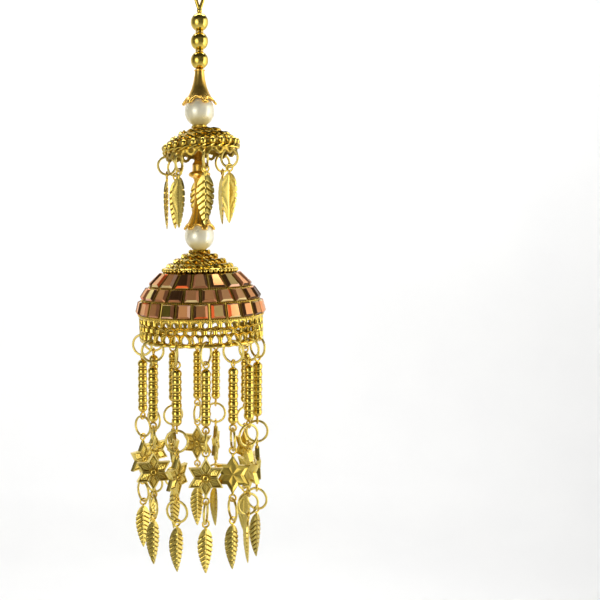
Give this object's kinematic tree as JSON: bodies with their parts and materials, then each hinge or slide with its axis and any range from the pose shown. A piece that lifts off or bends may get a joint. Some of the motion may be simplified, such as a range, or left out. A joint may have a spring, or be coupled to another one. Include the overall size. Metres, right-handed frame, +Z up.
{
  "type": "kalire bridal ornament",
  "caption": "Folk bridal ornament: a strung stem of beads and pearls, a small dome with leaf charms, and a mirrored dome with a pierced rim and hanging star and leaf strands.",
  "frame": {"origin": "where the ornament hangs: the top of the inside of its teardrop wire loop", "axes": "+Z up along the hanging wire, the front faces -Y, +X to the viewer's right"},
  "size_m": [0.0461, 0.0487, 0.1958],
  "materials": {
    "gold": "polished gold plating",
    "pearl": "pearl lustre",
    "mirror": "rose-copper mirrored glass, bevelled"
  },
  "bodies": {
    "root": {"hanging_wire": "gold", "gold_bead_1": "gold", "gold_bead_2": "gold", "gold_bead_3": "gold", "spacer_1": "gold", "spacer_2": "gold", "trumpet_cap_1": "gold", "trumpet_cap_2": "gold", "pearl_1": "pearl", "pearl_2": "pearl", "pearl_cup": "gold", "small_dome": "gold", "stem_tube": "gold", "leaf_drop_1": "gold", "leaf_drop_2": "gold", "leaf_drop_3": "gold", "leaf_drop_4": "gold", "leaf_drop_5": "gold", "leaf_drop_6": "gold", "leaf_drop_7": "gold", "dome_cap": "gold", "dome_shell": "gold", "mirror_row_1": "mirror", "mirror_row_2": "mirror", "mirror_row_3": "mirror", "gallery": "gold", "strand_01": "gold", "strand_02": "gold", "strand_03": "gold", "strand_04": "gold", "strand_05": "gold", "strand_06": "gold", "strand_07": "gold", "strand_08": "gold", "strand_09": "gold", "strand_10": "gold", "strand_11": "gold", "strand_12": "gold"}
  },
  "joints": []
}
